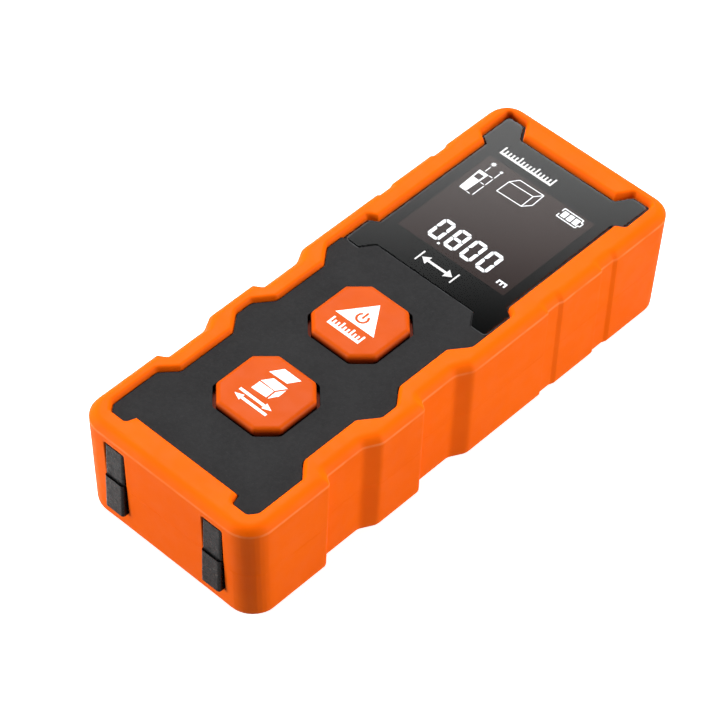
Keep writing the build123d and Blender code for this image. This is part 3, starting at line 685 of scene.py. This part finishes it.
def coil(name, node, wide_at_low_y):
    """Tapered wire spring that fills its CAD outline, with a closed turn at each end."""
    low, high = box_mm(node)
    x, z = (low[0] + high[0]) / 2, (low[2] + high[2]) / 2
    wire, wide, narrow, turns = 0.27, 3.3, 2.0, 4.0
    y0, y1 = low[1] + wire, high[1] - wire
    if not wide_at_low_y:
        y0, y1 = y1, y0
    curve = bpy.data.curves.new(name, "CURVE")
    curve.dimensions = "3D"
    curve.bevel_depth = wire * MM
    curve.bevel_resolution = 4
    spline = curve.splines.new("POLY")
    count = 160
    spline.points.add(count - 1)
    for i, point in enumerate(spline.points):
        share = i / (count - 1)
        climb = smooth_step(share, 0.12, 0.9)
        radius = wide + (narrow - wide) * climb
        a = 2 * math.pi * turns * share
        y = y0 + (y1 - y0) * climb
        point.co = ((x + radius * math.cos(a)) * MM, y * MM, (z + radius * math.sin(a)) * MM, 1)
    curve.use_fill_caps = True
    holder = add_object(name + "_curve", curve)
    mesh = final_mesh(holder)
    bpy.data.objects.remove(holder)
    shade(mesh)
    return add_object(name, mesh)


def lathe_z(name, x, y, profile, sides=56):
    """Closed solid of revolution about a vertical axis, from a loop of (radius, z)."""
    points = []
    for i in range(sides):
        a = 2 * math.pi * i / sides
        points += [(x + r * math.cos(a), y + r * math.sin(a), z) for r, z in profile]
    faces = grid_faces(sides, len(profile), points_meet=False)
    mesh = turned_outward(mesh_from(name, points, faces), welded=True)
    shade(mesh)
    return add_object(name, mesh)


def soft_dome(name, node):
    """Collapsible silicone dome: a curved skirt that carries a flat top, hollow below."""
    low, high = box_mm(node)
    x, y = (low[0] + high[0]) / 2, (low[1] + high[1]) / 2
    foot, top, wall = low[2], high[2], 0.45
    wide, crown, steps = 3.85, 2.3, 8
    outer, inner = [], []
    for i in range(steps + 1):
        t = i / steps
        radius = wide + (crown - wide) * t
        z = foot + (top - foot) * math.sin(t * math.pi / 2) ** 0.9
        outer.append((radius, z))
        inner.append((radius - wall, max(foot, z - wall)))
    profile = outer + [(0.0, top), (0.0, top - wall)] + inner[::-1] + [outer[0]]
    return lathe_z(name, x, y, profile), (x * MM, y * MM, foot * MM)


# ---- materials -------------------------------


def srgb(r, g, b):
    """Screen colour, 0 to 255, as linear light."""
    def linear(v):
        v /= 255
        return v / 12.92 if v <= 0.04045 else ((v + 0.055) / 1.055) ** 2.4
    return (linear(r), linear(g), linear(b), 1.0)


class Surface:
    """A procedural material: one Principled shader and the nodes that feed it."""

    def __init__(self, name, **constants):
        self.material = bpy.data.materials.new(name)
        self.material.use_nodes = True
        self.tree = self.material.node_tree
        self.shader = self.tree.nodes["Principled BSDF"]
        for socket, value in constants.items():
            self.shader.inputs[socket.replace("_", " ")].default_value = value
        self.place = self.tree.nodes.new("ShaderNodeTexCoord").outputs["Object"]
        self.normal = None

    def put(self, socket, value):
        """Links a node's output to a socket, or sets the socket to a plain value."""
        if isinstance(value, bpy.types.NodeSocket):
            self.tree.links.new(value, socket)
        else:
            socket.default_value = value

    def add(self, kind, settings=None, **inputs):
        """New node with its settings and inputs."""
        node = self.tree.nodes.new(kind)
        for key, value in (settings or {}).items():
            setattr(node, key, value)
        for key, value in inputs.items():
            self.put(node.inputs[key.replace("_", " ")], value)
        return node

    def feed(self, **inputs):
        """Sets or links inputs of the shader."""
        for key, value in inputs.items():
            self.put(self.shader.inputs[key.replace("_", " ")], value)

    def replace_shader(self, shader):
        """Puts another shader in the place of the Principled one."""
        self.tree.nodes.remove(self.shader)
        self.put(self.tree.nodes["Material Output"].inputs["Surface"], shader.outputs[0])

    def stretched(self, x, y, z):
        """Object coordinates scaled along each axis."""
        return self.add("ShaderNodeMapping", Vector=self.place, Scale=(x, y, z)).outputs[0]

    def noise(self, size_mm, detail=2.0, place=None):
        """Cloudy noise, with clouds of about a size."""
        scale = 1 / (size_mm * MM)
        node = self.add("ShaderNodeTexNoise", Vector=place or self.place, Detail=detail, Scale=scale)
        return node.outputs["Fac"]

    def cells(self, size_mm):
        """Distance to the middle of cells of about a size."""
        node = self.add("ShaderNodeTexVoronoi", Vector=self.place, Scale=1 / (size_mm * MM))
        return node.outputs["Distance"]

    def span(self, value, low, high, to_low=0.0, to_high=1.0):
        """Smooth climb from to_low to to_high while the value goes from low to high."""
        node = self.add("ShaderNodeMapRange", {"interpolation_type": "SMOOTHSTEP"}, Value=value)
        self.put(node.inputs["From Min"], low)
        self.put(node.inputs["From Max"], high)
        self.put(node.inputs["To Min"], to_low)
        self.put(node.inputs["To Max"], to_high)
        return node.outputs["Result"]

    def patches(self, size_mm, detail=3, to_low=0.0, to_high=1.0, place=None):
        """Soft patches of a size, between two values."""
        return self.span(self.noise(size_mm, detail, place), 0.3, 0.7, to_low, to_high)

    def along(self, axis, start_mm, end_mm, to_start=0.0, to_end=1.0):
        """Smooth climb between two places on an axis."""
        place = self.add("ShaderNodeSeparateXYZ", Vector=self.place).outputs[axis]
        return self.span(place, start_mm * MM, end_mm * MM, to_start, to_end)

    def maths(self, operation, a, b=0.0):
        node = self.add("ShaderNodeMath", {"operation": operation})
        self.put(node.inputs[0], a)
        self.put(node.inputs[1], b)
        return node.outputs[0]

    def mix(self, share, a, b):
        """Colour between a and b. A Mix node has its colours on sockets 6 and 7 and output 2."""
        node = self.add("ShaderNodeMix", {"data_type": "RGBA"}, Factor=share)
        self.put(node.inputs[6], a)
        self.put(node.inputs[7], b)
        return node.outputs[2]

    def mix_numbers(self, share, a, b):
        """Number between a and b. A Mix node has its numbers on sockets 2 and 3 and output 0."""
        node = self.add("ShaderNodeMix", {"data_type": "FLOAT"}, Factor=share)
        self.put(node.inputs[2], a)
        self.put(node.inputs[3], b)
        return node.outputs[0]

    def glaze(self, share, colour):
        """Lays a share of a colour over the base colour."""
        under = self.shader.inputs["Base Color"].links[0].from_socket
        self.feed(Base_Color=self.mix(share, under, colour))

    def bump(self, height, depth_mm, strength=1.0):
        """Adds relief whose full height is depth_mm."""
        node = self.add("ShaderNodeBump", Height=height, Strength=strength)
        node.inputs["Distance"].default_value = depth_mm * MM
        if self.normal is not None:
            self.put(node.inputs["Normal"], self.normal)
        self.normal = node.outputs["Normal"]
        self.feed(Normal=self.normal)

    def edges(self):
        """Share that is 1 on convex edges."""
        return self.span(self.add("ShaderNodeNewGeometry").outputs["Pointiness"], 0.51, 0.57)


def moulded(name, colour, other, roughness, grain_mm, grain_depth, patch_mm=9.0, worn=None):
    """Moulded plastic or rubber: drifting colour, fine grain, uneven gloss and worn edges."""
    s = Surface(name)
    s.feed(Base_Color=s.mix(s.span(s.noise(patch_mm, 3), 0.35, 0.68), colour, other))
    if worn:
        s.glaze(s.maths("MULTIPLY", s.edges(), s.span(s.noise(1.1, 4), 0.3, 0.5, 0.15, 0.45)), worn)
    s.feed(Roughness=s.patches(2.6, 5, *roughness))
    s.bump(s.noise(grain_mm, 3), grain_depth)
    return s


def rubber():
    """Orange rubber, with a painted highlight along the crease round the rim."""
    s = moulded("rubber", (0.93, 0.13, 0.0, 1), (0.9, 0.118, 0.0, 1), (0.5, 0.62), 0.16, 0.012, 14.0)
    s.feed(Specular_IOR_Level=0.05)
    # Painted highlight: a pale band, uneven in strength, along the crease round the rim.
    band = s.maths(
        "MULTIPLY",
        s.along("Z", CREASE_Z - 0.6, CREASE_Z - 0.1),
        s.along("Z", CREASE_Z + 0.22, CREASE_Z + 0.02),
    )
    painted_crease_highlight = s.maths("MULTIPLY", band, s.span(s.noise(5.0, 3), 0.3, 0.6, 0.35, 0.8))
    s.glaze(painted_crease_highlight, (1.0, 0.24, 0.06, 1))
    s.bump(s.noise(3.5, 2), 0.015, 0.4)
    return s


def case_plastic():
    """Grained charcoal plastic; the rear pads are darker, smoother and scuffed."""
    s = Surface("case_plastic", Specular_IOR_Level=0.08)
    pad = s.along("Y", CASE_REAR_Y, CASE_REAR_Y - 0.4)
    plate = s.mix(s.span(s.noise(7, 3), 0.35, 0.65), srgb(36, 36, 37), srgb(33, 33, 34))
    fleck = s.span(s.noise(0.35, 4), 0.58, 0.7)
    plate = s.mix(s.maths("MULTIPLY", fleck, 0.25), plate, srgb(48, 48, 50))
    scuff = s.maths("MULTIPLY", s.span(s.noise(0.7, 6), 0.56, 0.68), s.span(s.noise(3.0, 2), 0.4, 0.6))
    dark = s.mix(scuff, srgb(16, 16, 17), srgb(70, 65, 61))
    s.feed(Base_Color=s.mix(pad, plate, dark))
    smooth = s.span(s.noise(0.8, 5), 0.35, 0.7, 0.22, 0.45)
    s.feed(Roughness=s.mix_numbers(pad, s.patches(0.6, 4, 0.58, 0.66), smooth))
    s.bump(s.noise(0.28, 3), 0.03)
    s.bump(s.cells(0.45), 0.012, 0.6)
    return s


def key_plastic():
    """Keys: the skirt is painted darker towards the plate, as shade."""
    # Two tones of the key's own orange, mixed in random patches.
    lit, shaded = (0.6, 0.08, 0.001, 1), (0.57, 0.073, 0.001, 1)
    s = moulded("key_plastic", lit, shaded, (0.45, 0.56), 0.22, 0.005, 8.0)
    s.feed(Specular_IOR_Level=0.07)
    # Painted shade: the skirt darkens towards the plate, where the rim shadows it.
    skirt = s.along("Z", KEY_TOP_Z - 0.2, PLATE_Z + 0.05)
    s.glaze(s.maths("MULTIPLY", skirt, 0.9), (0.1, 0.008, 0.001, 1))
    return s


def bezel_plastic():
    """Satin black front bezel with worn edges."""
    dark, darker, worn = srgb(32, 32, 34), srgb(26, 26, 28), srgb(72, 72, 74)
    s = moulded("bezel_plastic", dark, darker, (0.38, 0.52), 0.22, 0.012, 6.0, worn)
    s.feed(Specular_IOR_Level=0.14)
    return s


def ink():
    """White pad print, a little thin in places, with a faint painted glow."""
    s = Surface("white_ink")
    thin = s.span(s.noise(0.35, 5), 0.55, 0.75)
    s.feed(Base_Color=s.mix(s.maths("MULTIPLY", thin, 0.3), srgb(250, 250, 248), srgb(255, 214, 186)))
    s.feed(Roughness=s.patches(0.8, 3, 0.4, 0.55))
    # Painted glow: the print gives off a little light of its own.
    s.feed(Emission_Color=(1, 1, 1, 1), Emission_Strength=0.12)
    s.bump(s.noise(0.12, 3), 0.003)
    return s


def window_ink():
    """Light grey print on the window."""
    s = Surface("window_ink", Specular_IOR_Level=0.1)
    thin = s.span(s.noise(0.35, 5), 0.5, 0.75)
    s.feed(Base_Color=s.mix(thin, srgb(226, 226, 226), srgb(205, 205, 205)))
    s.feed(Roughness=s.patches(0.8, 3, 0.5, 0.62))
    s.bump(s.noise(0.12, 3), 0.003)
    return s


def pane(name, tint, index=1.5):
    """Thin clear sheet: what is behind shows through, and the sky reflects by its angle."""
    s = Surface(name)
    clear = s.add("ShaderNodeBsdfTransparent", Color=tint)
    smear = s.span(s.noise(15.0, 2), 0.35, 0.75, 0.0, 0.02)
    gloss = s.add("ShaderNodeBsdfGlossy", Color=(1, 1, 1, 1), Roughness=smear)
    facing = s.add("ShaderNodeLayerWeight", Blend=0.5).outputs["Facing"]
    straight = ((index - 1) / (index + 1)) ** 2
    glancing = s.maths("MULTIPLY", s.maths("POWER", facing, 5.0), 1 - straight)
    share = s.maths("ADD", glancing, straight)
    outside = s.maths("SUBTRACT", 1.0, s.add("ShaderNodeNewGeometry").outputs["Backfacing"])
    both = s.add("ShaderNodeMixShader", Fac=s.maths("MULTIPLY", share, outside))
    s.put(both.inputs[1], clear.outputs[0])
    s.put(both.inputs[2], gloss.outputs[0])
    s.replace_shader(both)
    return s


def mask_ink():
    """Black print round the display."""
    s = Surface("mask_ink", Specular_IOR_Level=0.0)
    s.feed(Base_Color=s.mix(s.noise(4.0, 2), srgb(9, 10, 10), srgb(13, 14, 14)))
    s.feed(Roughness=s.patches(1.0, 3, 0.5, 0.62))
    return s


def display_glass():
    """Unlit field of the display: dark brown, glowing a little brighter towards the laser end."""
    s = Surface("display_glass", Emission_Strength=1.0, Specular_IOR_Level=0.0)
    field = s.mix(s.patches(9.0, 2), srgb(46, 34, 31), srgb(41, 31, 29))
    s.feed(Base_Color=s.mix(0.5, field, (0, 0, 0, 1)))
    s.feed(Emission_Color=s.mix(s.along("Y", 14.0, 42.0), srgb(44, 33, 31), srgb(56, 44, 41)))
    s.feed(Roughness=s.patches(2.0, 2, 0.25, 0.35))
    return s


def lit_segments():
    """Lit marks of the display."""
    s = Surface("lit_segments", Emission_Strength=0.85, Specular_IOR_Level=0.0)
    s.feed(Base_Color=s.mix(s.noise(0.3, 2), srgb(200, 200, 200), srgb(225, 225, 225)))
    s.feed(Emission_Color=s.mix(s.patches(1.5, 2), srgb(250, 248, 246), srgb(255, 255, 255)))
    s.feed(Roughness=s.patches(1.0, 2, 0.4, 0.5))
    return s


def metal(name, colour, other, roughness, grain_mm, depth, stretch=(1, 1, 1)):
    """Metal with brushed or cast grain and dull patches."""
    s = Surface(name, Metallic=1.0)
    along = s.stretched(*stretch)
    s.feed(Base_Color=s.mix(s.span(s.noise(1.6, 4), 0.35, 0.7), colour, other))
    s.feed(Roughness=s.patches(0.9, 4, *roughness, along))
    s.bump(s.noise(grain_mm, 3, along), depth)
    return s


def circuit_board():
    """Green solder mask over copper traces, with gold pads."""
    s = Surface("circuit_board")
    tracks = s.add(
        "ShaderNodeTexBrick", Vector=s.place, Scale=420.0, Mortar_Size=0.04, Brick_Width=1.3,
        Row_Height=0.38,
    )
    green = s.mix(s.patches(5.0), srgb(12, 62, 38), srgb(9, 50, 32))
    trace = s.mix(tracks.outputs["Fac"], green, srgb(34, 104, 62))
    pads = s.span(s.cells(1.7), 0.16, 0.13)
    s.feed(Base_Color=s.mix(pads, trace, srgb(206, 166, 84)))
    s.feed(Metallic=s.maths("MULTIPLY", pads, 0.9))
    s.feed(Roughness=s.patches(1.2, 3, 0.28, 0.42))
    s.bump(tracks.outputs["Fac"], 0.03)
    return s


def cell_wrap():
    """Dark sleeve with a copper band, between ends of bare steel."""
    s = Surface("cell_wrap")
    band = s.maths("MULTIPLY", s.along("Y", -16.5, -16.3), s.along("Y", -5.2, -5.4))
    ends = s.maths("ADD", s.along("Y", -45.2, -45.6), s.along("Y", -1.2, -0.8))
    sleeve = s.mix(band, srgb(34, 36, 40), srgb(190, 120, 62))
    scuffed = s.mix(s.span(s.noise(2.0, 3), 0.4, 0.65), sleeve, srgb(52, 52, 56))
    s.feed(Base_Color=s.mix(ends, scuffed, srgb(196, 196, 198)))
    s.feed(Metallic=s.maths("MINIMUM", s.maths("ADD", ends, s.maths("MULTIPLY", band, 0.6)), 1.0))
    s.feed(Roughness=s.patches(1.0, 4, 0.22, 0.38))
    s.bump(s.noise(0.8, 3), 0.01)
    return s


def foam():
    """Open-pored strip on the door."""
    s = Surface("foam")
    pores = s.cells(0.5)
    s.feed(Base_Color=s.mix(s.span(pores, 0.1, 0.5), srgb(20, 20, 22), srgb(52, 52, 56)))
    s.feed(Roughness=s.patches(0.4, 2, 0.82, 0.95))
    s.bump(pores, 0.15)
    return s


def floor_paper():
    """Pale paper that glows a little, so that the floor stays even."""
    s = Surface("floor_paper", Emission_Strength=0.8)
    s.feed(Base_Color=s.mix(s.patches(40.0, 2), srgb(246, 246, 246), srgb(243, 243, 243)))
    s.feed(Emission_Color=(1, 1, 1, 1))
    s.feed(Roughness=s.patches(5.0, 3, 0.7, 0.8))
    s.bump(s.noise(1.5, 3), 0.02)
    return s


MATERIALS = {
    "rubber": rubber(),
    "case": case_plastic(),
    "door": moulded("door_plastic", srgb(48, 48, 49), srgb(42, 42, 44), (0.5, 0.64), 0.26, 0.03, 6.0,
                    srgb(84, 84, 86)),
    "bezel": bezel_plastic(),
    "tray": moulded("tray_plastic", srgb(222, 222, 216), srgb(210, 210, 204), (0.4, 0.55), 0.3, 0.01),
    "light": moulded("light_panel", srgb(232, 236, 240), srgb(222, 228, 234), (0.3, 0.4), 0.5, 0.02),
    "zebra": moulded("zebra_rubber", srgb(196, 112, 130), srgb(60, 56, 60), (0.5, 0.65), 0.2, 0.02, 0.25),
    "seal": moulded("seal_rubber", srgb(30, 30, 30), srgb(24, 24, 25), (0.6, 0.75), 0.15, 0.015),
    "adhesive": moulded("adhesive_tape", srgb(16, 16, 16), srgb(22, 22, 22), (0.5, 0.65), 0.3, 0.01),
    "silicone": moulded("silicone", srgb(196, 202, 204), srgb(184, 190, 194), (0.35, 0.5), 0.25, 0.01),
    "key": key_plastic(),
    "ink": ink(),
    "window_ink": window_ink(),
    "mask": mask_ink(),
    "window": pane("window_pane", (0.93, 0.94, 0.95, 1)),
    "lens": pane("lens_glass", (0.86, 0.93, 0.9, 1), 1.6),
    "front_glass": pane("front_glass", (0.82, 0.55, 0.55, 1)),
    "display": display_glass(),
    "segments": lit_segments(),
    "board": circuit_board(),
    "chip": moulded("chip_epoxy", srgb(34, 34, 36), srgb(28, 28, 30), (0.5, 0.65), 0.1, 0.01, 3.0),
    "tin": metal("tinned_steel", srgb(198, 200, 202), srgb(172, 174, 178), (0.28, 0.42), 0.4, 0.008),
    "bench": metal("cast_metal", srgb(150, 152, 156), srgb(124, 126, 130), (0.42, 0.6), 0.25, 0.02),
    "gold": metal("gold_can", srgb(214, 178, 104), srgb(196, 158, 88), (0.2, 0.34), 0.3, 0.004),
    "contact": metal("contact_metal", srgb(206, 204, 198), srgb(180, 176, 168), (0.22, 0.38), 0.2, 0.006,
                     (1, 1, 6)),
    "screw": metal("screw_steel", srgb(160, 162, 166), srgb(120, 120, 124), (0.3, 0.45), 0.15, 0.01),
    "cell": cell_wrap(),
    "foam": foam(),
}

FINISH = {
    "case": ("upper_casing", "lower_casing"),
    "rubber": ("upper_bumper", "lower_bumper"),
    "seal": ("case_gasket",),
    "window": ("display_window",),
    "adhesive": ("window_adhesive",),
    "display": ("lcd_panel",),
    "tray": ("lcd_holder",),
    "light": ("lcd_backlight",),
    "zebra": ("zebra_strip",),
    "key": ("measure_button", "units_button"),
    "silicone": ("measure_dome", "units_dome", "keypad_sheet"),
    "board": ("main_board", "laser_board", "receiver_board"),
    "chip": ("processor_chip", "small_components", "sensor_connector", "buzzer"),
    "tin": ("shield_can",),
    "bench": ("optical_bench", "lens_ring"),
    "gold": ("laser_barrel", "laser_diode", "photodiode"),
    "lens": ("collimating_lens", "receiver_lens"),
    "bezel": ("front_bezel",),
    "front_glass": ("emitter_window", "receiver_window"),
    "cell": ("cell_left", "cell_right"),
    "contact": ("rear_spring", "front_spring", "link_plate", "positive_contact", "negative_contact"),
    "door": ("battery_door",),
    "foam": ("door_pad",),
    "screw": ("case_screws", "board_screws", "bench_screws"),
}


def finish_cad_nodes():
    """Gives every CAD node its material, slot by slot."""
    for key, names in FINISH.items():
        for name in names:
            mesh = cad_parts[name].data
            for i in range(len(mesh.materials)):
                mesh.materials[i] = MATERIALS[key].material


def finish_piece(piece, key, body):
    """Gives a piece its material and its body."""
    piece.data.materials.clear()
    piece.data.materials.append(MATERIALS[key].material)
    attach(piece, body)
    return piece


def build_prints():
    """Every printed or lit mark, and the black print under the window."""
    under_window = PLATE_Z - 0.38
    on_glass = LCD_Z + 0.01
    for name, shapes, z, key, body, slot in (
        ("window_mask", window_mask(), under_window, "mask", "housing", "adhesive"),
        ("window_marks", window_marks(), PLATE_Z, "window_ink", "housing", "window"),
        ("display_reading", reading(), on_glass, "segments", "housing", "lcd_glass"),
        ("display_meter_icon", meter_icon(), on_glass, "segments", "housing", "lcd_glass"),
        ("display_volume_icon", volume_icon(), on_glass, "segments", "housing", "lcd_glass"),
        ("display_battery_icon", battery_icon(), on_glass, "segments", "housing", "lcd_glass"),
        ("measure_key_print", measure_marks(), KEY_TOP_Z, "ink", "measure_key", "key_orange"),
        ("units_key_print", units_marks(), KEY_TOP_Z, "ink", "units_key", "key_orange"),
    ):
        finish_piece(flat_print(name, shapes, z), key, body)


def build_springs():
    """Wire coils in place of the CAD springs."""
    for name, node, wide_low in (("rear_coil", "rear_spring", True), ("front_coil", "front_spring", False)):
        piece = finish_piece(coil(name, node, wide_low), "contact", "housing")
        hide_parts(node)


def build_domes():
    """Silicone domes in place of the CAD domes, each with a mesh of its own."""
    for key in ("measure", "units"):
        piece, anchor = soft_dome(key + "_soft_dome", key + "_dome")
        finish_piece(piece, "silicone", "housing")
        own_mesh(piece)
        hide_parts(key + "_dome")


# ---- stage -----------------------------------


def face_from(thing, target, towards, distance):
    """Stands a thing at a distance from a target, in a direction, and turns its front to it."""
    away = Vector(towards).normalized()
    thing.location = target + away * distance
    thing.rotation_euler = away.to_track_quat("Z", "Y").to_euler()


def card_mesh(name, x0, x1, y0, y1, z, surface):
    """Flat card, in metres."""
    mesh = bpy.data.meshes.new(name)
    mesh.from_pydata([(x0, y0, z), (x1, y0, z), (x1, y1, z), (x0, y1, z)], [], [(0, 1, 2, 3)])
    mesh.materials.append(surface.material)
    return mesh


def area_light(name, towards, distance, size, power):
    """Soft box that looks at the middle of the object from a direction."""
    lamp = bpy.data.lights.new(name, "AREA")
    lamp.shape = "RECTANGLE"
    lamp.size, lamp.size_y = size
    lamp.energy = power
    face_from(add_object(name, lamp), Vector((0, 0, 0.01)), towards, distance)


def gradient_card():
    """Card that the window mirrors: bright low down and dark above."""
    s = Surface("card_gradient")
    fall = s.along("Y", 40, -45, 0.02, 3.4)
    s.replace_shader(s.add("ShaderNodeEmission", Color=(1, 1, 1, 1), Strength=fall))
    half_x, half_y = 0.22, 0.2
    mesh = card_mesh("reflection_card", -half_x, half_x, -half_y, half_y, 0, s)
    card = add_object("reflection_card", mesh)
    window_middle = Vector((0, 0.0278, 0.0218))
    face_from(card, window_middle, (-0.437, 0.555, 0.708), 0.5)
    card.visible_camera = False
    card.visible_diffuse = False
    card.visible_shadow = False


def build_stage():
    """Pale floor, three soft boxes, the gradient card and a faint even sky."""
    reach, below = 3.0, -0.00005
    floor = add_object("floor", card_mesh("floor", -reach, reach, -reach, reach, below, floor_paper()))
    floor.visible_diffuse = False
    area_light("left_box", (-0.62, -0.76, 0.15), 0.75, (0.34, 0.3), 7.0)
    area_light("right_box", (0.88, 0.42, 0.16), 0.75, (0.34, 0.3), 6.2)
    area_light("top_box", (-0.38, 0.3, 0.87), 0.8, (0.36, 0.36), 8.6)
    gradient_card()
    world = bpy.data.worlds.new("studio")
    bpy.context.scene.world = world
    world.use_nodes = True
    sky = world.node_tree.nodes["Background"]
    sky.inputs["Color"].default_value = (1, 1, 1, 1)
    sky.inputs["Strength"].default_value = 0.07
    bpy.context.scene.view_settings.view_transform = "Standard"


def build_camera():
    """Camera at the photograph's angle and distance."""
    data = bpy.data.cameras.new("camera")
    data.sensor_width = 36.0
    data.lens = 168.69
    data.shift_x, data.shift_y = 0.00415, 0.00101
    data.clip_start, data.clip_end = 0.05, 10.0
    camera = add_object("camera", data)
    camera.location = (0.245326, -0.283726, 0.419124)
    camera.rotation_euler = [math.radians(a) for a in (42.532, -1.592, 43.460)]
    bpy.context.scene.camera = camera


build_camera()
finish_cad_nodes()
build_rubber()
build_prints()
build_springs()
build_domes()
build_stage()

bpy.context.view_layer.update()
